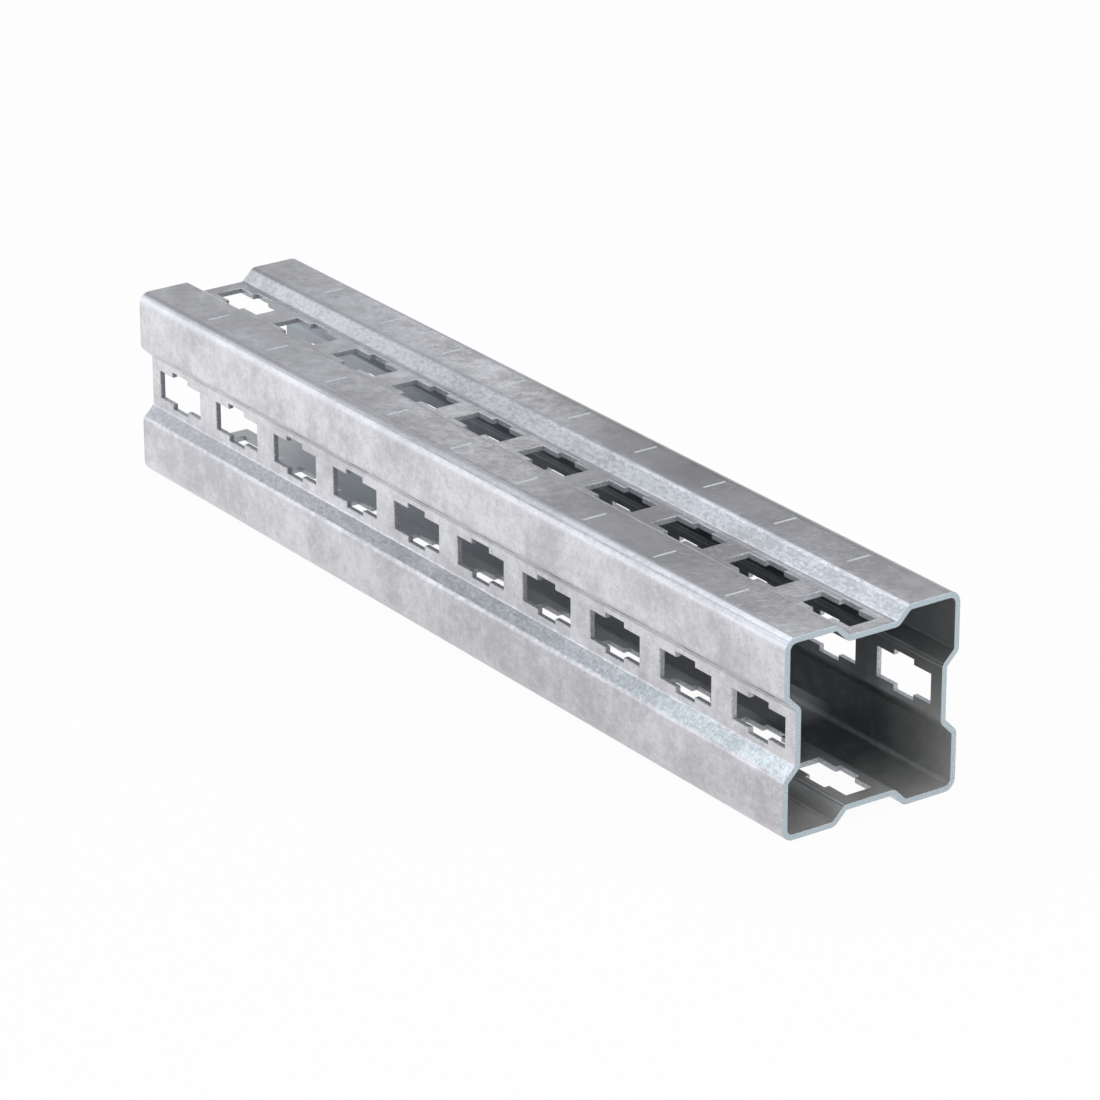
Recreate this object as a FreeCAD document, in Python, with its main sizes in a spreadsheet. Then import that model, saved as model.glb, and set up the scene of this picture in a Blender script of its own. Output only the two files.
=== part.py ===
# Square galvanised steel framing profile with a recessed, slotted middle on all four sides.
#
# One length of roll-formed steel strip. Its square section has rounded corners, and in the
# middle of each side the wall steps inwards by two slanted flanks. The sunk floors carry
# cross-shaped slots at a fixed pitch, in line on all four sides. Halfway between the slots,
# short notches scored across both strips of the top side mark the pitch.
#
# The profile lies along X with its underside on the XY plane, midway between its ends.
# Sizes are in millimetres.
import FreeCAD, Part
import math
import os

import Sketcher
from FreeCAD import Rotation, Vector

NODE = "channel_profile"

# The driving dimensions. Each one can be changed by itself.
DRIVING = [
    ("profile_length", 500, "cut length along X"),
    ("outer_width", 90, "over the outer strips, both ways"),
    ("wall", 2.6, "strip thickness with its zinc"),
    ("corner_inside", 3, "inside radius of the four corners"),
    ("bend_inside", 1.5, "inside radius of the bends beside the recess"),
    ("recess_mouth", 36, "width of the recess between its sharp outer edges"),
    ("recess_depth", 6, "step of the floor below the outer strips"),
    ("flank_angle", 45, "slope of the flanks against the strips, in degrees"),
    ("slot_pitch", 50, "slot to slot along X"),
    ("slot_length", 35.5, "long arms of the cross, end to end along X"),
    ("slot_width", 13.5, "across the long arms"),
    ("notch_length", 13, "short arms of the cross, along X"),
    ("notch_width", 18.5, "short arms of the cross, end to end"),
    ("mark_length", 12, "scored mark, across the strip"),
    ("mark_width", 1.4, "scored mark, along X at the surface"),
    ("mark_depth", 0.6, "scored mark, down to its sharp bottom"),
]

# The sizes that follow from them.
DERIVED = [
    ("half_width", "outer_width / 2"),
    ("floor_height", "half_width - recess_depth"),
    ("mouth_half", "recess_mouth / 2"),
    ("floor_half", "mouth_half - recess_depth / tan(flank_angle * 1deg)"),
    ("corner_outside", "corner_inside + wall"),
    ("bend_outside", "bend_inside + wall"),
    ("slot_count", "floor(profile_length / slot_pitch)"),
    ("first_slot", "-(slot_count - 1) * slot_pitch / 2"),
    ("mark_count", "slot_count - 1"),
    ("first_mark", "-(mark_count - 1) * slot_pitch / 2"),
    ("strip_middle", "(half_width + mouth_half) / 2"),
]

# The sharp corners of a quarter of the outer outline, from the middle of the top floor
# round to the middle of the floor on the +Y side, as the sizes that place them.
CORNERS = [
    ("floor_half", "floor_height"),
    ("mouth_half", "half_width"),
    ("half_width", "half_width"),
    ("half_width", "mouth_half"),
    ("floor_height", "floor_half"),
]
OUTER_RADII = ["bend_inside", "bend_outside", "corner_outside", "bend_outside", "bend_inside"]
INNER_RADII = ["bend_outside", "bend_inside", "corner_inside", "bend_inside", "bend_outside"]

# A sketch's own origin and axes, and the ends of its lines and arcs, in constraints.
ORIGIN = (-1, 1)
ACROSS, UPRIGHT = range(-1, -3, -1)
START, END, CENTRE = range(1, 4)


def make_sheet(doc):
    """Put the driving and the derived sizes in a spreadsheet, one row each."""
    sheet = doc.addObject("Spreadsheet::Sheet", "Sizes")
    for row, (alias, size, meaning) in enumerate(DRIVING, start=1):
        sheet.set(f"A{row}", alias)
        sheet.set(f"B{row}", str(size))
        sheet.set(f"C{row}", meaning)
        sheet.setAlias(f"B{row}", alias)
    for row, (alias, formula) in enumerate(DERIVED, start=len(DRIVING) + 1):
        sheet.set(f"A{row}", alias)
        sheet.set(f"B{row}", "=" + formula)
        sheet.setAlias(f"B{row}", alias)
        doc.recompute()


def origin_feature(body, role):
    """Return one of the body's own origin planes or axes."""
    return next(item for item in body.Origin.OriginFeatures if item.Role == role)


def new_sketch(body, name, plane):
    """Start a sketch on one of the body's own origin planes."""
    sketch = body.newObject("Sketcher::SketchObject", name)
    sketch.AttachmentSupport = [(origin_feature(body, plane), "")]
    sketch.MapMode = "FlatFace"
    return sketch


def size_of(item, alias):
    """Return the present value of one of the sheet's sizes."""
    return float(item.evalExpression("Sizes." + alias))


def bind(item, place, alias):
    """Drive one property of an object by one of the sheet's sizes."""
    item.setExpression(place, "Sizes." + alias)


def dimension(sketch, kind, *where, alias):
    """Add a driving dimension that follows one of the sheet's sizes."""
    index = sketch.addConstraint(Sketcher.Constraint(kind, *where, size_of(sketch, alias)))
    bind(sketch, f"Constraints[{index}]", alias)


def constrain(sketch, kind, *where):
    """Add a geometric constraint."""
    sketch.addConstraint(Sketcher.Constraint(kind, *where))


def rounding(before, corner, after, radius):
    """Return the centre of the arc that rounds a corner, with the directions from the
    centre to where a path enters and leaves it, and True where the path turns left."""
    incoming = (corner - before).normalize()
    outgoing = (after - corner).normalize()
    left = incoming.cross(outgoing).z > 0
    quarter_turn = Rotation(Vector(0, 0, 1), -90 if left else 90)
    entry = quarter_turn.multVec(incoming)
    leave = quarter_turn.multVec(outgoing)
    setback = radius * math.tan(incoming.getAngle(outgoing) / 2)
    return corner - incoming * setback - entry * radius, entry, leave, left


def add_path(sketch, start, roundings, radii, end):
    """Draw straight lines joined by tangent arcs whose radii follow the sheet.

    A sketch's arcs run anticlockwise, so a path that turns right enters an arc at its end.
    """
    lines = []
    arcs = []
    here = start
    for (centre, entry, leave, left), alias in zip(roundings, radii):
        radius = size_of(sketch, alias)
        lines.append(sketch.addGeometry(Part.LineSegment(here, centre + entry * radius)))
        first, last = (entry, leave) if left else (leave, entry)
        angles = [math.atan2(spoke.y, spoke.x) for spoke in (first, last)]
        circle = Part.Circle(centre, Vector(0, 0, 1), radius)
        arcs.append(sketch.addGeometry(Part.ArcOfCircle(circle, *angles)))
        here = centre + leave * radius
    lines.append(sketch.addGeometry(Part.LineSegment(here, end)))
    for index, (arc, alias) in enumerate(zip(arcs, radii)):
        left = roundings[index][3]
        constrain(sketch, "Tangent", lines[index], END, arc, START if left else END)
        constrain(sketch, "Tangent", arc, END if left else START, lines[index + 1], START)
        dimension(sketch, "Radius", arc, alias=alias)
    constrain(sketch, "Horizontal", lines[0])
    constrain(sketch, "Vertical", lines[-1])
    constrain(sketch, "PointOnObject", lines[0], START, UPRIGHT)
    constrain(sketch, "PointOnObject", lines[-1], END, ACROSS)
    return lines, arcs


def draw_wall_quarter(sketch):
    """Draw a quarter of the wall's section, cut through the middle of two floors.

    The outer path is placed by its sharp corners. The inner path turns about the same
    centres, with radii one wall apart, so the wall is equally thick all round.
    """
    corners = [Vector(size_of(sketch, y), size_of(sketch, z)) for y, z in CORNERS]
    floor_height = size_of(sketch, "floor_height")
    inner_height = floor_height - size_of(sketch, "wall")
    stops = [Vector(0, floor_height)] + corners + [Vector(floor_height, 0)]
    radii = [size_of(sketch, alias) for alias in OUTER_RADII]
    roundings = [rounding(*stops[n:n + 3], radius) for n, radius in enumerate(radii)]

    outer, outer_arcs = add_path(sketch, stops[0], roundings, OUTER_RADII, stops[-1])
    for index, (corner, aliases) in enumerate(zip(corners, CORNERS)):
        point = sketch.addGeometry(Part.Point(corner), True)
        dimension(sketch, "DistanceX", *ORIGIN, point, START, alias=aliases[0])
        dimension(sketch, "DistanceY", *ORIGIN, point, START, alias=aliases[1])
        constrain(sketch, "PointOnObject", point, START, outer[index])
        constrain(sketch, "PointOnObject", point, START, outer[index + 1])

    inner, inner_arcs = add_path(
        sketch, Vector(0, inner_height), roundings, INNER_RADII, Vector(inner_height, 0)
    )
    for outer_arc, inner_arc in zip(outer_arcs, inner_arcs):
        constrain(sketch, "Coincident", outer_arc, CENTRE, inner_arc, CENTRE)

    for line, tip in ((0, START), (-1, END)):
        ends = [sketch.getPoint(path[line], tip) for path in (outer, inner)]
        closing = sketch.addGeometry(Part.LineSegment(*ends))
        constrain(sketch, "Coincident", closing, START, outer[line], tip)
        constrain(sketch, "Coincident", closing, END, inner[line], tip)


def draw_polygon(sketch, corners):
    """Draw a closed run of straight lines and return them."""
    following = corners[1:] + corners[:1]
    sides = [
        sketch.addGeometry(Part.LineSegment(corner, after))
        for corner, after in zip(corners, following)
    ]
    for side, after in zip(sides, sides[1:] + sides[:1]):
        constrain(sketch, "Coincident", side, END, after, START)
    return sides


def draw_rectangle(sketch, length, width):
    """Draw a rectangle about the sketch's origin from two of the sheet's sizes."""
    x = size_of(sketch, length) / 2
    y = size_of(sketch, width) / 2
    corners = [Vector(-x, -y), Vector(x, -y), Vector(x, y), Vector(-x, y)]
    near, right, far, left = draw_polygon(sketch, corners)
    for level in (near, far):
        constrain(sketch, "Horizontal", level)
    for upright in (right, left):
        constrain(sketch, "Vertical", upright)
    constrain(sketch, "Symmetric", near, START, far, START, *ORIGIN)
    dimension(sketch, "DistanceX", near, START, near, END, alias=length)
    dimension(sketch, "DistanceY", right, START, right, END, alias=width)


def draw_mark(sketch):
    """Draw the V of a scored mark, with its open side level with the outer strips."""
    top = size_of(sketch, "half_width")
    side = size_of(sketch, "mark_width") / 2
    bottom = top - size_of(sketch, "mark_depth")
    corners = [Vector(-side, top), Vector(0, bottom), Vector(side, top)]
    down, up, across = draw_polygon(sketch, corners)
    constrain(sketch, "Symmetric", down, START, up, END, UPRIGHT)
    constrain(sketch, "PointOnObject", down, END, UPRIGHT)
    dimension(sketch, "DistanceX", down, START, up, END, alias="mark_width")
    dimension(sketch, "DistanceY", *ORIGIN, across, START, alias="half_width")
    dimension(sketch, "DistanceY", down, END, down, START, alias="mark_depth")


def add_wall(body):
    """Pad a quarter of the section over the whole length and turn it four times."""
    sketch = new_sketch(body, "wall_quarter_section", "YZ_Plane")
    draw_wall_quarter(sketch)
    quarter = body.newObject("PartDesign::Pad", "wall_quarter")
    quarter.Profile = sketch
    quarter.SideType = "Symmetric"
    bind(quarter, "Length", "profile_length")
    section = body.newObject("PartDesign::PolarPattern", "wall_all_round")
    section.Originals = [quarter]
    section.Axis = (origin_feature(body, "X_Axis"), [""])
    section.Angle = 360
    section.Occurrences = 4
    body.Tip = section


def repeat(body, name, originals, moves):
    """Repeat features by several moves at once, and make the result the body's tip."""
    pattern = body.newObject("PartDesign::MultiTransform", name)
    pattern.Originals = originals
    pattern.Transformations = moves
    body.Tip = pattern


def along_the_length(body, name, count):
    """Return a move that repeats at the slots' pitch towards +X."""
    row = body.newObject("PartDesign::LinearPattern", name)
    row.Direction = (origin_feature(body, "X_Axis"), [""])
    row.Mode = "Spacing"
    bind(row, "Offset", "slot_pitch")
    bind(row, "Occurrences", count)
    return row


def add_slots(body):
    """Punch the cross-shaped slots: two crossing rectangles, in rows on four sides."""
    cuts = []
    for name, length, width in (
        ("slot", "slot_length", "slot_width"),
        ("notch", "notch_length", "notch_width"),
    ):
        sketch = new_sketch(body, name + "_outline", "XY_Plane")
        bind(sketch, "AttachmentOffset.Base.x", "first_slot")
        draw_rectangle(sketch, length, width)
        cut = body.newObject("PartDesign::Pocket", name + "_cut")
        cut.Profile = sketch
        cut.Reversed = True
        bind(cut, "Length", "half_width")
        cuts.append(cut)
    row = along_the_length(body, "slot_row", "slot_count")
    sides = body.newObject("PartDesign::PolarPattern", "four_sides")
    sides.Axis = (origin_feature(body, "X_Axis"), [""])
    sides.Angle = 360
    sides.Occurrences = 4
    repeat(body, "slots", cuts, [row, sides])


def add_marks(body):
    """Score the pitch marks across both strips of the top side, between the slots."""
    sketch = new_sketch(body, "mark_outline", "XZ_Plane")
    bind(sketch, "AttachmentOffset.Base.x", "first_mark")
    bind(sketch, "AttachmentOffset.Base.z", "strip_middle")
    draw_mark(sketch)
    cut = body.newObject("PartDesign::Pocket", "mark_cut")
    cut.Profile = sketch
    cut.SideType = "Symmetric"
    bind(cut, "Length", "mark_length")
    row = along_the_length(body, "mark_row", "mark_count")
    other_strip = body.newObject("PartDesign::Mirrored", "other_strip")
    other_strip.MirrorPlane = (origin_feature(body, "XZ_Plane"), [""])
    repeat(body, "marks", [cut], [row, other_strip])


def make_profile(doc):
    """Build the profile about the X axis, then lift it so that it lies on the XY plane."""
    body = doc.addObject("PartDesign::Body", "Profile")
    body.Label = NODE
    add_wall(body)
    doc.recompute()
    add_slots(body)
    doc.recompute()
    add_marks(body)
    bind(body, "Placement.Base.z", "half_width")
    doc.recompute()
    return body


def check(doc, body):
    """Stop where a feature failed, a sketch is loose or the solid isn't one whole piece."""
    for item in doc.Objects:
        if {"Invalid", "Error"} & set(item.State):
            raise RuntimeError(f"{item.Label} failed: {item.State}")
        if item.TypeId == "Sketcher::SketchObject" and not item.FullyConstrained:
            raise RuntimeError(f"{item.Label} isn't fully constrained")
    shape = body.Shape
    if shape.isNull() or not shape.isValid() or len(shape.Solids) != 1:
        raise RuntimeError("the profile isn't one valid solid")


def main():
    doc = FreeCAD.newDocument("StrutChannel")
    make_sheet(doc)
    body = make_profile(doc)
    check(doc, body)
    box = body.Shape.BoundBox
    print(f"{NODE}: {box.XLength:.3f} x {box.YLength:.3f} x {box.ZLength:.3f} mm")
    print(f"volume {body.Shape.Volume:.1f} mm3, {len(body.Shape.Faces)} faces")
    os.makedirs("parts", exist_ok=True)
    body.Shape.exportStep(f"parts/{NODE}.step")


main()
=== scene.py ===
# Square galvanised strut profile on a white studio floor.
import math
from collections import namedtuple

import bmesh
import bpy
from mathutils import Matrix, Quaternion, Vector

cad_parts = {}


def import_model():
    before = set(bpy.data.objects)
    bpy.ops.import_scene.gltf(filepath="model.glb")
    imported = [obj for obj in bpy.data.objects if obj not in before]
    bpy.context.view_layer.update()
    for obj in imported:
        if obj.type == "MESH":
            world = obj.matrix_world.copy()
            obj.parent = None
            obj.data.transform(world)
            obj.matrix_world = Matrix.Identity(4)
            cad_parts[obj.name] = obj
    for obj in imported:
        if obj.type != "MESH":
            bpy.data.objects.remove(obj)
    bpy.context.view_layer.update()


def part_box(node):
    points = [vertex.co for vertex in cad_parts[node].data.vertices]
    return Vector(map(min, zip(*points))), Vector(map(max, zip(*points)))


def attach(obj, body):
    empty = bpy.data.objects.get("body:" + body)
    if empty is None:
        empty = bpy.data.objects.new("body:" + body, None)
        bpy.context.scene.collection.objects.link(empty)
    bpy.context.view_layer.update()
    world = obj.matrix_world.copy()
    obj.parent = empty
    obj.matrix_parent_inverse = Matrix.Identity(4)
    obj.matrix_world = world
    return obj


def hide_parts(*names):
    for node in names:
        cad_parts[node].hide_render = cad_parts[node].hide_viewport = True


MM = 0.001

# The profile's sizes, in metres. They repeat the solid's own.
PITCH = 50 * MM
SLOTS = 10
WIDTH = 90 * MM
WALL = 2.6 * MM
CORNER_INSIDE = 3 * MM
BEND_INSIDE = 1.5 * MM
MOUTH = 36 * MM
DEPTH = 6 * MM
FLANK_ANGLE = math.radians(45)
SLOT_LENGTH, SLOT_WIDTH = 35.5 * MM, 13.5 * MM
NOTCH_LENGTH, NOTCH_WIDTH = 13 * MM, 18.5 * MM
MARK_LENGTH, MARK_WIDTH, MARK_DEPTH = 12 * MM, 1.4 * MM, 0.6 * MM
MARK_RUNOUT = 0.9 * MM

# The mesh. A row of its points runs along X, at a place (y, z) of the section, on one of
# the four sides. The outer rims are rounded fully and the inner ones only in part.
RIM_ROUNDING = 0.35 * MM
OUTER_RIM, INNER_RIM = 1.0, 0.4
BEND_STEPS, CORNER_STEPS = 6, 5
SMOOTH_BELOW = math.radians(32)
TOP, RIGHT, BOTTOM, LEFT = range(4)
OUTSIDE, INSIDE, SAWN, PUNCHED, SCORED = range(5)
Row = namedtuple("Row", "y z side across")

# Where the photograph was taken from: a long lens looking down on the near end.
CAMERA_AZIMUTH = math.radians(54.95)
CAMERA_ELEVATION = math.radians(22.6)
CAMERA_ROLL = math.radians(-0.09)
CAMERA_DISTANCE = 2.317
CAMERA_TARGET = Vector((0.0223, 0, 0.0408))
FOCAL_PIXELS = 5272
PHOTO_PIXELS = 1100
SENSOR = 36

# The finishes' colours. A surface varies between a bright and a dull one.
ZINC = (0.865, 0.865, 0.91), (0.605, 0.6, 0.63)
SAWN_ZINC = (0.7, 0.8, 0.86), (0.45, 0.53, 0.58)
PUNCHED_STEEL = (0.67, 0.69, 0.725), (0.45, 0.465, 0.495)
SCORED_ZINC = (0.74, 0.79, 0.83), (0.55, 0.59, 0.63)
# The inside's colours are dull zinc with painted shade deep inside, and painted light on the
# bottom and towards both open ends.
INSIDE_DEEP_SHADE, INSIDE_BOTTOM_LIT = (0.18, 0.19, 0.2), (0.62, 0.63, 0.64)
INSIDE_FAR_END_LIT, INSIDE_NEAR_END_LIT = (0.4, 0.43, 0.46), (0.67, 0.67, 0.66)

# Where the outer corners' painted highlight and shallower grain start and are full, as |Y|
# plus height off the axis.
CORNER_SHEEN_FROM, CORNER_SHEEN_FULL = 83.5 * MM, 85.5 * MM
# How high the inside's bottom reaches, with its recess. Up to there it is painted lighter.
BOTTOM_UNDER, BOTTOM_OVER = 8.8 * MM, 9.6 * MM

# The floor as the metal sees it. Its glow dims along X towards the near end, a painted
# shade, and is shaded around the profile's near half.
FLOOR_SIZE, FLOOR_DROP = 8.0, 0.1 * MM
FLOOR_COLOUR, FLOOR_ROUGH = (0.85, 0.85, 0.85), 0.9
FLOOR_GLOW, FLOOR_SEEN, FLOOR_SHADE = 0.95, 0.82, 0.14
GLOW_DIMS_FROM, GLOW_DIMS_FULL = -1.0, 0.15
SHADED = {"X": (0.06, 0.12), "Y": (0, WIDTH / 2)}  # middle and half length of the shaded box

# The studio's light. The walls are an even grey, the ceiling is a wide soft panel, and
# below the horizon lies the white floor. Beyond the near end the ceiling is about as dim
# as the walls. A soft spot has an azimuth from -X towards +Y, an elevation and a reach,
# all in degrees, and a colour to add. A negative one is a darker patch.
WALL_LIGHT, NEAR_WALL_LIGHT = (0.44, 0.445, 0.455), (0.5, 0.5, 0.505)
CEILING_LIGHT, NEAR_CEILING_LIGHT = (1.42, 1.5, 1.58), (0.5, 0.51, 0.53)
CEILING_FROM, CEILING_FULL = 37, 42.8
FAR_SIDE_FROM, FAR_SIDE_FULL = 0.1, 0.5
HORIZON_BLUR = 0.03
FLOOR_LIGHT = (0.95, 0.95, 0.96)
LAMP_SIZE = 3.4
DARKEST = 0.02
SOFT_SPOTS = [
    (-40.7, -2.6, 28.2, (0.6, 0.62, 0.64)),
    (-18.8, 12.8, 6.9, (1.24, 1.3, 1.36)),
    (-0.1, 42.6, 8.4, (-0.47, -0.5, -0.53)),
    (15.8, 35.7, 1.7, (-0.25, -0.26, -0.27)),
    (-28.1, 30, 2.1, (-1.06, -1.1, -1.15)),
    (-35.8, 34.2, 3.1, (1.08, 1.36, 1.44)),
    (-20.1, 27.7, 1.35, (1.24, 1.3, 1.36)),
    (34.7, 20.6, 0.8, (1.6, 1.62, 1.64)),
    (37, 22.2, 1.3, (-1.37, -1.41, -1.49)),
    (37.9, 24.7, 0.96, (1.7, 1.72, 1.75)),
    (33.8, 24.5, 1.05, (-0.6, -0.61, -0.62)),
    (37.5, 20.1, 1.15, (-1.14, -1.16, -1.18)),
    (29.5, 19.5, 2.2, (0.07, 0.07, 0.07)),
    (4, 33.9, 1.5, (0.45, 0.46, 0.48)),
    (-9, 33, 1.6, (0.45, 0.46, 0.48)),
]


def arc(centre, radius, start, stop, steps):
    """Return points along an arc, with its two ends."""
    turn = (stop - start) / steps
    angles = [start + turn * k for k in range(steps + 1)]
    return [
        (centre[0] + radius * math.cos(angle), centre[1] + radius * math.sin(angle))
        for angle in angles
    ]


def half_side(skin, lines):
    """Return half of one side's section, from the middle of the floor to the corner.

    A point is (across, up), with up measured from the profile's axis. The outer skin has
    skin 0 and the inner skin has skin WALL: both turn about the same bend centres. The
    lines are extra places across where the mesh needs a row of points.
    """
    half = WIDTH / 2
    floor_half = MOUTH / 2 - DEPTH / math.tan(FLANK_ANGLE)
    bend_outside = BEND_INSIDE + WALL
    ease = math.tan(FLANK_ANGLE / 2)
    floor_centre = (floor_half - BEND_INSIDE * ease, half - DEPTH + BEND_INSIDE)
    mouth_centre = (MOUTH / 2 + bend_outside * ease, half - bend_outside)
    corner_centre = (half - CORNER_INSIDE - WALL, half - CORNER_INSIDE - WALL)
    down = -math.pi / 2
    up = math.pi / 2
    floor_arc = arc(floor_centre, BEND_INSIDE + skin, down, down + FLANK_ANGLE, BEND_STEPS)
    mouth_arc = arc(mouth_centre, bend_outside - skin, up + FLANK_ANGLE, up, BEND_STEPS)
    corner_arc = arc(corner_centre, CORNER_INSIDE + WALL - skin, up, up / 2, CORNER_STEPS)
    floor_rows = [(x, half - DEPTH - skin) for x in lines if x < floor_centre[0]]
    strip_rows = [(x, half - skin) for x in lines if x > mouth_centre[0]]
    return floor_rows + floor_arc + mouth_arc + strip_rows + corner_arc


def side_section(skin, side):
    """Return one side's section from corner to corner, without its last point."""
    lines = [SLOT_WIDTH / 2, NOTCH_WIDTH / 2]
    if side == TOP:
        middle = (WIDTH + MOUTH) / 4
        for reach in (MARK_LENGTH / 2, MARK_LENGTH / 2 - MARK_RUNOUT):
            lines += [middle - reach, middle + reach]
    half = half_side(skin, sorted(lines))
    whole = [(-across, up) for across, up in reversed(half)] + half
    return whole[:-1]


def turned(point, side):
    """Turn a side's (across, up) onto the top, right, bottom or left of the section."""
    across, up = point
    y, z = {
        TOP: (across, up),
        RIGHT: (up, -across),
        BOTTOM: (-across, -up),
        LEFT: (-up, across),
    }[side]
    return y, z + WIDTH / 2


def section(skin):
    """Return the closed section as rows of points along X."""
    return [
        Row(*turned(point, side), side, point[0])
        for side in (TOP, RIGHT, BOTTOM, LEFT)
        for point in side_section(skin, side)
    ]


def stations(low, high):
    """Return the places along X where the mesh needs a row of points."""
    first = (low + high) / 2 - (SLOTS - 1) / 2 * PITCH
    places = [low, high]
    for n in range(SLOTS):
        centre = first + n * PITCH
        for reach in (SLOT_LENGTH / 2, NOTCH_LENGTH / 2):
            places += [centre - reach, centre + reach]
    for n in range(SLOTS - 1):
        centre = first + (n + 0.5) * PITCH
        places += [centre - MARK_WIDTH / 2, centre, centre + MARK_WIDTH / 2]
    return sorted(places)


def in_slot(x, across, centre_line):
    """Tell whether a place on a floor lies inside one of the cross-shaped slots."""
    if abs(across) > NOTCH_WIDTH / 2:
        return False
    nearest = round((x - centre_line) / PITCH - 0.5) + 0.5
    if abs(nearest) > SLOTS / 2:
        return False
    reach = abs(x - centre_line - nearest * PITCH)
    long_arm = reach < SLOT_LENGTH / 2 and abs(across) < SLOT_WIDTH / 2
    short_arm = reach < NOTCH_LENGTH / 2 and abs(across) < NOTCH_WIDTH / 2
    return long_arm or short_arm


def mark_drop(x, row, centre_line):
    """Return how far a point of the outer skin sinks into a scored mark."""
    middle = (WIDTH + MOUTH) / 4
    beyond = abs(abs(row.across) - middle) - (MARK_LENGTH / 2 - MARK_RUNOUT)
    place = (x - centre_line) / PITCH
    nearest = round(place)
    on_mark = abs(place - nearest) * PITCH < MARK_WIDTH / 4 and abs(nearest) < SLOTS / 2
    if row.side == TOP and beyond < MARK_RUNOUT / 2 and on_mark:
        return MARK_DEPTH
    return 0.0


def add_weights(mesh, name, rims):
    """Store an edge weight for each rim, which a bevel then rounds."""
    weights = mesh.attributes.new(name, "FLOAT", "EDGE")
    for edge in mesh.edges:
        weights.data[edge.index].value = rims.get(frozenset(edge.vertices), 0.0)


def build_profile(low, high):
    """Build the profile's mesh between two places along X.

    The outer and inner skins share one grid of stations and rows. Cells inside a slot are
    left out, and walls join the two skins around each gap and at both ends.
    """
    skins = [section(0), section(WALL)]
    places = stations(low, high)
    rows = len(skins[0])
    middle = (low + high) / 2
    vertices = []
    for skin, ring in enumerate(skins):
        for x in places:
            for row in ring:
                drop = mark_drop(x, row, middle) if skin == 0 else 0.0
                vertices.append((x, row.y, row.z - drop))

    def vertex(skin, station, row):
        return (skin * len(places) + station) * rows + row % rows

    def open_cell(station, row):
        if not 0 <= station < len(places) - 1:
            return True
        here, after = skins[0][row % rows], skins[0][(row + 1) % rows]
        if here.side != after.side:
            return False
        x = (places[station] + places[station + 1]) / 2
        return in_slot(x, (here.across + after.across) / 2, middle)

    faces, finishes = [], []
    punched_rims, sawn_rims = {}, {}
    level = [row.z for row in skins[0]] * len(places)
    scored = {n for n, z in enumerate(level) if vertices[n][2] < z}

    def add_face(corners, finish):
        faces.append(corners)
        finishes.append(SCORED if scored.intersection(corners) else finish)

    def add_wall(a, b):
        at_end = a[0] == b[0] and a[0] in (0, len(places) - 1)
        rims, finish = (sawn_rims, SAWN) if at_end else (punched_rims, PUNCHED)
        corners = [vertex(0, *a), vertex(0, *b), vertex(1, *b), vertex(1, *a)]
        add_face(corners, finish)
        rims[frozenset(corners[:2])] = OUTER_RIM
        rims[frozenset(corners[2:])] = INNER_RIM

    for station in range(-1, len(places)):
        for row in range(rows):
            here = open_cell(station, row)
            if not here:
                for skin, finish in ((0, OUTSIDE), (1, INSIDE)):
                    add_face(
                        [
                            vertex(skin, station, row),
                            vertex(skin, station + 1, row),
                            vertex(skin, station + 1, row + 1),
                            vertex(skin, station, row + 1),
                        ],
                        finish,
                    )
            if here != open_cell(station + 1, row) and station + 1 < len(places):
                add_wall((station + 1, row), (station + 1, row + 1))
            if 0 <= station < len(places) - 1 and here != open_cell(station, row + 1):
                add_wall((station, row + 1), (station + 1, row + 1))

    mesh = bpy.data.meshes.new("profile")
    mesh.from_pydata(vertices, [], faces)
    mesh.polygons.foreach_set("material_index", finishes)
    add_weights(mesh, "punched_rims", punched_rims)
    add_weights(mesh, "sawn_rims", sawn_rims)
    smooth_the_bends(mesh)
    profile = bpy.data.objects.new("profile", mesh)
    bpy.context.collection.objects.link(profile)
    return profile


def smooth_the_bends(mesh):
    """Drop unused points, turn the faces outwards, and shade all but the folds smooth."""
    edit = bmesh.new()
    edit.from_mesh(mesh)
    loose = [point for point in edit.verts if not point.link_faces]
    bmesh.ops.delete(edit, geom=loose, context="VERTS")
    bmesh.ops.recalc_face_normals(edit, faces=edit.faces)
    for edge in edit.edges:
        at_mark = len({face.material_index == SCORED for face in edge.link_faces}) == 2
        edge.smooth = edge.calc_face_angle(0) < SMOOTH_BELOW and not at_mark
    edit.to_mesh(mesh)
    edit.free()
    mesh.polygons.foreach_set("use_smooth", [True] * len(mesh.polygons))


def round_the_rims(profile):
    """Round the punched and sawn edges and keep the flat faces flat in the shading."""
    for name, finish in (("punched_rims", PUNCHED), ("sawn_rims", SAWN)):
        bevel = profile.modifiers.new(name, "BEVEL")
        bevel.limit_method = "WEIGHT"
        bevel.edge_weight = name
        bevel.width = RIM_ROUNDING
        bevel.segments = 2
        bevel.use_clamp_overlap = False
        bevel.material = finish
    normals = profile.modifiers.new("normals", "WEIGHTED_NORMAL")
    normals.keep_sharp = True
    normals.weight = 100


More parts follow.
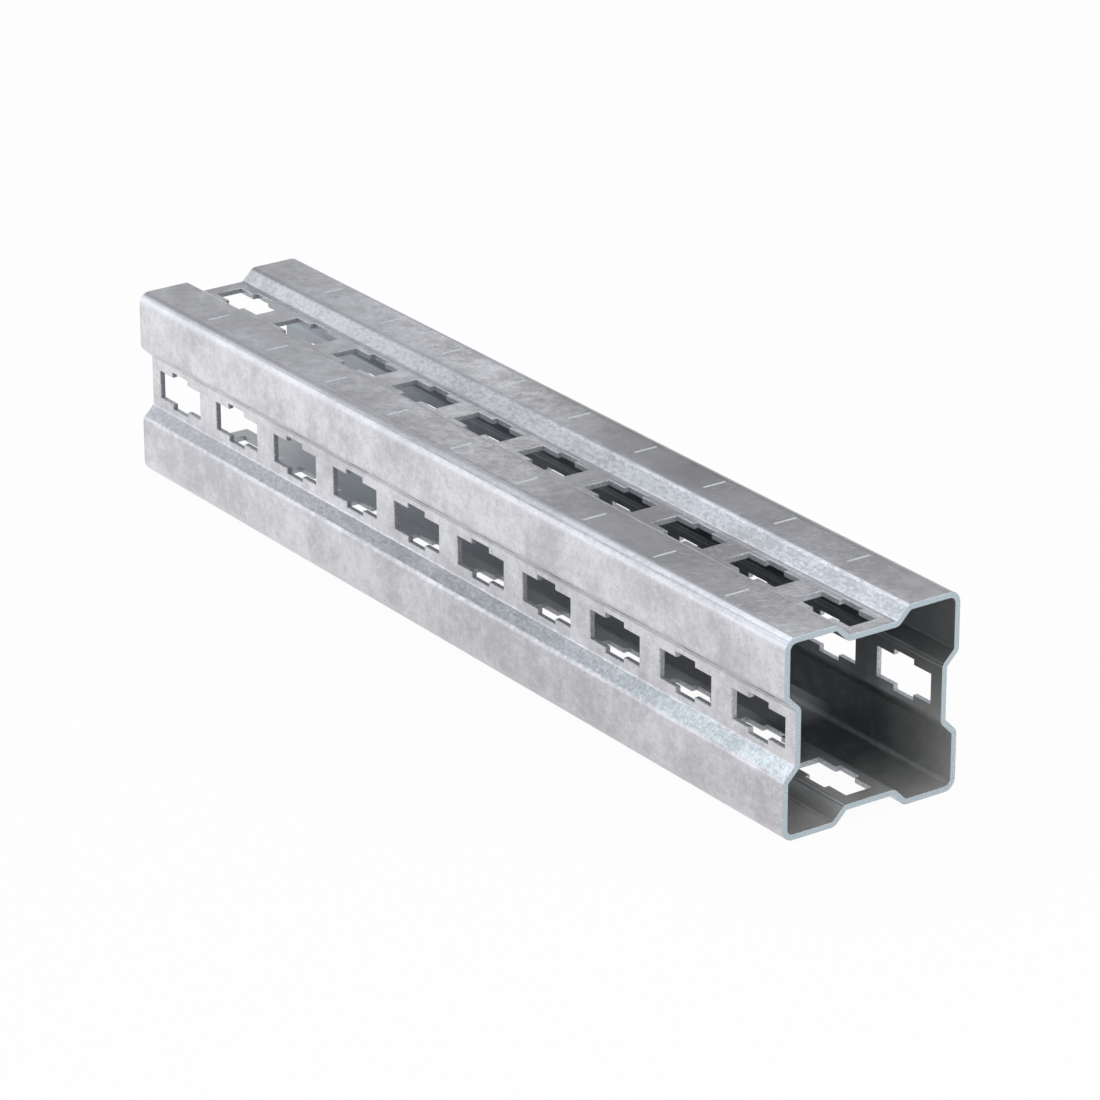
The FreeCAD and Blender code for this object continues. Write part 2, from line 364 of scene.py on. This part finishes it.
class Nodes:
    """A node tree, with short ways to add and join its nodes.

    A value is the output socket of another node, or a plain number, place or colour.
    """

    def __init__(self, tree):
        self.tree = tree

    def add(self, kind, **values):
        """Add a node and set its properties."""
        node = self.tree.nodes.new(kind)
        for name, value in values.items():
            setattr(node, name, value)
        return node

    def feed(self, value, socket):
        """Join a value to a socket, or set the socket to it."""
        if isinstance(value, bpy.types.NodeSocket):
            self.tree.links.new(value, socket)
        else:
            socket.default_value = value

    def combine(self, operation, *values):
        """Add, multiply or otherwise work out one value from others."""
        node = self.add("ShaderNodeMath", operation=operation)
        for socket, value in zip(node.inputs, values):
            self.feed(value, socket)
        return node.outputs["Value"]

    def combine_vectors(self, operation, first, second):
        """Combine two vectors, or a vector and the value that scales it."""
        node = self.add("ShaderNodeVectorMath", operation=operation)
        self.feed(first, node.inputs[0])
        self.feed(second, node.inputs["Scale" if operation == "SCALE" else 1])
        return node.outputs["Value" if operation == "DOT_PRODUCT" else "Vector"]

    def rescale(self, source, low, high, to_low=0.0, to_high=1.0, curve="LINEAR"):
        """Stretch a value's range onto another one."""
        node = self.add("ShaderNodeMapRange", interpolation_type=curve)
        node.inputs["From Min"].default_value = low
        node.inputs["From Max"].default_value = high
        node.inputs["To Min"].default_value = to_low
        node.inputs["To Max"].default_value = to_high
        self.feed(source, node.inputs["Value"])
        return node.outputs["Result"]

    def blend(self, amount, first, second):
        """Blend from the first colour to the second by a value."""
        node = self.add("ShaderNodeMix", data_type="RGBA")
        sockets = [socket for socket in node.inputs if socket.type == "RGBA"]
        for socket, colour in zip(sockets, (first, second)):
            self.feed((*colour, 1) if isinstance(colour, tuple) else colour, socket)
        self.feed(amount, node.inputs["Factor"])
        return next(socket for socket in node.outputs if socket.type == "RGBA")

    def blend_shaders(self, amount, first, second, output):
        """Blend from the first shader to the second and make it the tree's result."""
        node = self.add("ShaderNodeMixShader")
        self.feed(amount, node.inputs["Fac"])
        self.feed(first, node.inputs[1])
        self.feed(second, node.inputs[2])
        self.feed(node.outputs["Shader"], self.tree.nodes[output].inputs["Surface"])


class Finish(Nodes):
    """A material with its nodes."""

    def __init__(self, name):
        self.material = bpy.data.materials.new(name)
        self.material.use_nodes = True
        super().__init__(self.material.node_tree)
        self.shader = self.tree.nodes["Principled BSDF"]

    def set(self, **values):
        """Give the shader's sockets values, with a space where a name has _."""
        for name, value in values.items():
            self.feed(value, self.shader.inputs[name.replace("_", " ")])

    def noise(self, spread, scale, detail, roughness):
        """Return noise over the object, drawn out across or along it by the spread."""
        mapping = self.add("ShaderNodeMapping")
        mapping.inputs["Scale"].default_value = spread
        self.feed(self.add("ShaderNodeTexCoord").outputs["Object"], mapping.inputs["Vector"])
        texture = self.add("ShaderNodeTexNoise")
        texture.inputs["Scale"].default_value = scale
        texture.inputs["Detail"].default_value = detail
        texture.inputs["Roughness"].default_value = roughness
        self.feed(mapping.outputs["Vector"], texture.inputs["Vector"])
        return texture.outputs["Fac"]

    def parts(self, kind):
        """Return the X, Y and Z of a place on the object or of the way it faces."""
        node = self.add("ShaderNodeSeparateXYZ")
        self.feed(self.add("ShaderNodeTexCoord").outputs[kind], node.inputs["Vector"])
        return node.outputs

    def bump(self, height, depth):
        """Roughen the shader's normals by a height that runs from 0 to the depth."""
        node = self.add("ShaderNodeBump")
        node.inputs["Strength"].default_value = 1.0
        node.inputs["Distance"].default_value = depth
        self.feed(height, node.inputs["Height"])
        self.set(Normal=node.outputs["Normal"])


def zinc(name, bright, dull, rough):
    """Return the outside's finish: cloudy zinc with fine wisps and a frosted grain.

    The slanted flanks were stretched in forming, so they are speckled, less so towards
    the far end. The zinc is darker where it faces down: painted shade. The outer corners
    are lighter and evener, a painted highlight, and their grain is shallower.
    """
    finish = Finish(name)
    place, facing = finish.parts("Object"), finish.parts("Normal")
    cloud = finish.noise((1, 1, 1), 22, detail=3, roughness=0.5)
    wisp = finish.noise((1, 0.9, 0.9), 110, detail=7, roughness=0.82)
    speckle = finish.noise((0.42, 0.95, 0.95), 720, detail=4, roughness=0.7)
    grain = finish.noise((1, 0.6, 0.6), 800, detail=2, roughness=0.5)

    slant = finish.combine("ABSOLUTE", finish.combine("MULTIPLY", facing["Y"], facing["Z"]))
    slant = finish.rescale(slant, 0.3, 0.5, 0.25, 1.0)
    slant = finish.combine("MULTIPLY", slant, finish.rescale(place["X"], -0.22, -0.05, 0.5, 1.0))
    height = finish.combine("ABSOLUTE", finish.combine("SUBTRACT", place["Z"], WIDTH / 2))
    reach = finish.combine("ADD", finish.combine("ABSOLUTE", place["Y"]), height)
    # Painted highlight: the outer corners' colour is lighter and less mottled. Their grain is
    # shallower too.
    corner = finish.rescale(reach, CORNER_SHEEN_FROM, CORNER_SHEEN_FULL, 1.0, 0.6)

    patch = finish.rescale(cloud, 0.38, 0.62, 0.0, 0.6)
    fleck = finish.rescale(wisp, 0.34, 0.66, -0.35, 0.75)
    scuff = finish.combine("MULTIPLY", finish.rescale(speckle, 0.34, 0.66, -0.68, 0.63), slant)
    # Painted shade: darker where the zinc faces down.
    below = finish.rescale(facing["Z"], 0.0, -0.7, 0.0, 0.6)
    clouds = finish.combine("ADD", patch, fleck)
    scuffs_and_shade = finish.combine("ADD", scuff, below)
    amount = finish.combine("MULTIPLY", finish.combine("ADD", clouds, scuffs_and_shade), corner)
    finish.set(
        Base_Color=finish.blend(amount, bright, dull),
        Roughness=finish.rescale(wisp, 0.3, 0.7, rough - 0.03, rough + 0.05),
        Metallic=1.0,
    )
    finish.bump(finish.combine("MULTIPLY", grain, corner), 0.02 * MM)
    return finish.material


def shaded_zinc(name, rough, metal):
    """Return the inside's finish: dull zinc, painted dark deep inside as shade and painted
    lighter towards both ends as light.

    At the near end only its lower half is painted lighter. The bottom is painted lighter
    away from the near end.
    """
    finish = Finish(name)
    place = finish.parts("Object")
    mottle = finish.noise((1, 1, 1), 90, detail=5, roughness=0.7)
    mottle = finish.rescale(mottle, 0.35, 0.65, -0.1, 0.1)
    # Painted light: lighter towards the far end, and towards the near end in the lower half.
    # Between them the deep colour is painted shade.
    far = finish.combine("ADD", finish.rescale(place["X"], 0.08, -0.15), mottle)
    near = finish.combine("ADD", finish.rescale(place["X"], 0.2, 0.25), mottle)
    lower_half = finish.rescale(place["Z"], 35 * MM, 65 * MM, 1.0, 0.15)
    near = finish.combine("MULTIPLY", near, lower_half)
    bottom = finish.rescale(place["Z"], BOTTOM_UNDER, BOTTOM_OVER, 1.0, 0.0)
    # Painted light on the inside's bottom, away from the near end.
    lit_bottom = finish.combine("MULTIPLY", bottom, finish.rescale(place["X"], 0.17, 0.15))
    colour = finish.blend(far, INSIDE_DEEP_SHADE, INSIDE_FAR_END_LIT)
    colour = finish.blend(near, colour, INSIDE_NEAR_END_LIT)
    colour = finish.blend(lit_bottom, colour, INSIDE_BOTTOM_LIT)
    finish.set(Base_Color=colour, Roughness=rough, Metallic=metal)
    return finish.material


def sheared(name, bright, dull, rough, metal, scale):
    """Return a bare cut edge: evenly matt, with a coarse speckle."""
    finish = Finish(name)
    speck = finish.noise((1, 1, 1), scale, detail=3, roughness=0.7)
    finish.set(
        Base_Color=finish.blend(finish.rescale(speck, 0.38, 0.62), bright, dull),
        Roughness=finish.rescale(speck, 0.3, 0.7, rough - 0.06, rough + 0.06),
        Metallic=metal,
    )
    finish.bump(speck, 0.03 * MM)
    return finish.material


def floor_shade(finish, place):
    """Return how strongly the profile shades a place on the floor, from 0 to 1.

    It is 1 at the profile and falls off as the sky that a wall of its height hides.
    """
    squares = []
    for axis, (middle, half) in SHADED.items():
        gap = finish.combine("ABSOLUTE", finish.combine("SUBTRACT", place[axis], middle))
        gap = finish.combine("MAXIMUM", finish.combine("SUBTRACT", gap, half), 0)
        squares.append(finish.combine("MULTIPLY", gap, gap))
    square = finish.combine("ADD", *squares)
    slope = finish.combine("DIVIDE", square, finish.combine("ADD", square, WIDTH ** 2))
    return finish.combine("SUBTRACT", 1.0, finish.combine("POWER", slope, 0.5))


def add_floor():
    """Add the white floor. The camera sees it evenly white.

    The metal sees its glow dim towards the near end, a painted shade, and close to the profile,
    where the profile shades it.
    """
    mesh = bpy.data.meshes.new("floor")
    reach = FLOOR_SIZE / 2
    corners = [(-reach, -reach, 0), (reach, -reach, 0), (reach, reach, 0), (-reach, reach, 0)]
    mesh.from_pydata(corners, [], [(0, 1, 2, 3)])
    floor = bpy.data.objects.new("floor", mesh)
    floor.location.z = -FLOOR_DROP
    bpy.context.collection.objects.link(floor)
    finish = Finish("floor")
    finish.set(Base_Color=(*FLOOR_COLOUR, 1), Roughness=FLOOR_ROUGH)
    ray = finish.add("ShaderNodeLightPath").outputs
    place = finish.parts("Object")
    shade = finish.combine("MULTIPLY", floor_shade(finish, place), FLOOR_SHADE)
    # Painted shade: the glow the metal sees dims along X towards the near end.
    lit = finish.rescale(place["X"], GLOW_DIMS_FROM, GLOW_DIMS_FULL, 1.0, FLOOR_SEEN)
    strength = finish.combine("SUBTRACT", lit, shade)
    glow = finish.add("ShaderNodeEmission")
    finish.feed(
        finish.combine("MAXIMUM", ray["Is Camera Ray"], strength), glow.inputs["Strength"]
    )
    share = finish.combine("ADD", ray["Is Camera Ray"], ray["Is Glossy Ray"])
    share = finish.combine("ADD", share, ray["Is Transmission Ray"])
    share = finish.combine("MULTIPLY", finish.combine("MINIMUM", share, 1.0), FLOOR_GLOW)
    finish.blend_shaders(
        share, finish.shader.outputs["BSDF"], glow.outputs["Emission"], "Material Output"
    )
    mesh.materials.append(finish.material)


def add_world():
    """Light the studio. The camera sees it white, and the metal sees its soft panels."""
    world = bpy.data.worlds.new("studio")
    world.use_nodes = True
    bpy.context.scene.world = world
    nodes = Nodes(world.node_tree)
    direction = nodes.add("ShaderNodeTexCoord").outputs["Generated"]

    def towards(x, y, z):
        return nodes.combine_vectors("DOT_PRODUCT", direction, (x, y, z))

    def step(value, low, high):
        return nodes.rescale(value, low, high, curve="SMOOTHSTEP")

    height = towards(0, 0, 1)
    ceiling_from, ceiling_full = (
        math.sin(math.radians(angle)) for angle in (CEILING_FROM, CEILING_FULL)
    )
    above = step(height, ceiling_from, ceiling_full)
    far_side = step(towards(-1, 0, 0), FAR_SIDE_FROM, FAR_SIDE_FULL)
    walls = nodes.blend(far_side, NEAR_WALL_LIGHT, WALL_LIGHT)
    ceiling = nodes.blend(far_side, NEAR_CEILING_LIGHT, CEILING_LIGHT)
    light = nodes.blend(above, walls, ceiling)
    for azimuth, elevation, reach, colour in SOFT_SPOTS:
        azimuth, elevation = math.radians(azimuth), math.radians(elevation)
        level = math.cos(elevation)
        near = towards(
            -math.cos(azimuth) * level, math.sin(azimuth) * level, math.sin(elevation)
        )
        sharpness = 1 / math.radians(reach) ** 2
        fall = nodes.combine("MULTIPLY_ADD", near, sharpness, -sharpness)
        spot = nodes.combine_vectors("SCALE", colour, nodes.combine("EXPONENT", fall))
        light = nodes.combine_vectors("ADD", light, spot)
    light = nodes.combine_vectors("MAXIMUM", light, (DARKEST, DARKEST, DARKEST))
    light = nodes.blend(step(height, 0.0, -HORIZON_BLUR), light, FLOOR_LIGHT)
    studio = world.node_tree.nodes["Background"]
    nodes.feed(light, studio.inputs["Color"])
    white = nodes.add("ShaderNodeBackground")
    white.inputs["Color"].default_value = (1, 1, 1, 1)
    nodes.blend_shaders(
        nodes.add("ShaderNodeLightPath").outputs["Is Camera Ray"],
        studio.outputs["Background"],
        white.outputs["Background"],
        "World Output",
    )


def add_lamp(name, place, target, watts, colour):
    """Hang a soft square panel that faces the profile."""
    lamp = bpy.data.lights.new(name, "AREA")
    lamp.size = LAMP_SIZE
    lamp.energy = watts
    lamp.color = colour
    panel = bpy.data.objects.new(name, lamp)
    panel.location = place
    panel.rotation_euler = (Vector(target) - Vector(place)).to_track_quat("-Z", "Y").to_euler()
    bpy.context.collection.objects.link(panel)


def add_camera():
    """Stand the camera where the photograph was taken."""
    camera = bpy.data.cameras.new("camera")
    camera.sensor_width = SENSOR
    camera.lens = FOCAL_PIXELS / PHOTO_PIXELS * SENSOR
    camera.clip_end = 50
    stand = bpy.data.objects.new("camera", camera)
    level = math.cos(CAMERA_ELEVATION)
    back = Vector((
        math.sin(CAMERA_AZIMUTH) * level,
        -math.cos(CAMERA_AZIMUTH) * level,
        math.sin(CAMERA_ELEVATION),
    ))
    stand.location = CAMERA_TARGET + back * CAMERA_DISTANCE
    turn = (-back).to_track_quat("-Z", "Y") @ Quaternion((0, 0, 1), CAMERA_ROLL)
    stand.rotation_euler = turn.to_euler()
    bpy.context.collection.objects.link(stand)
    bpy.context.scene.camera = stand


def main():
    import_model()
    low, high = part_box("channel_profile")
    profile = build_profile(low[0], high[0])
    for material in (  # in the order of OUTSIDE, INSIDE, SAWN, PUNCHED, SCORED
        zinc("zinc outside", *ZINC, rough=0.16),
        shaded_zinc("zinc inside", rough=0.32, metal=0.7),
        sheared("sawn zinc", *SAWN_ZINC, rough=0.42, metal=1.0, scale=1500),
        sheared("punched steel", *PUNCHED_STEEL, rough=0.5, metal=0.8, scale=900),
        sheared("scored zinc", *SCORED_ZINC, rough=0.5, metal=0.8, scale=1500),
    ):
        profile.data.materials.append(material)
    round_the_rims(profile)
    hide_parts("channel_profile")
    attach(profile, "root")
    add_floor()
    add_world()
    add_lamp("key", (1.6, 0.6, 1.5), (0.15, 0, 0.04), watts=21, colour=(1, 0.97, 0.94))
    add_lamp("front", (0.7, -2.1, 1.1), (0, 0, 0.04), watts=17, colour=(1, 0.98, 0.95))
    add_camera()
    bpy.context.scene.view_settings.view_transform = "Standard"


main()
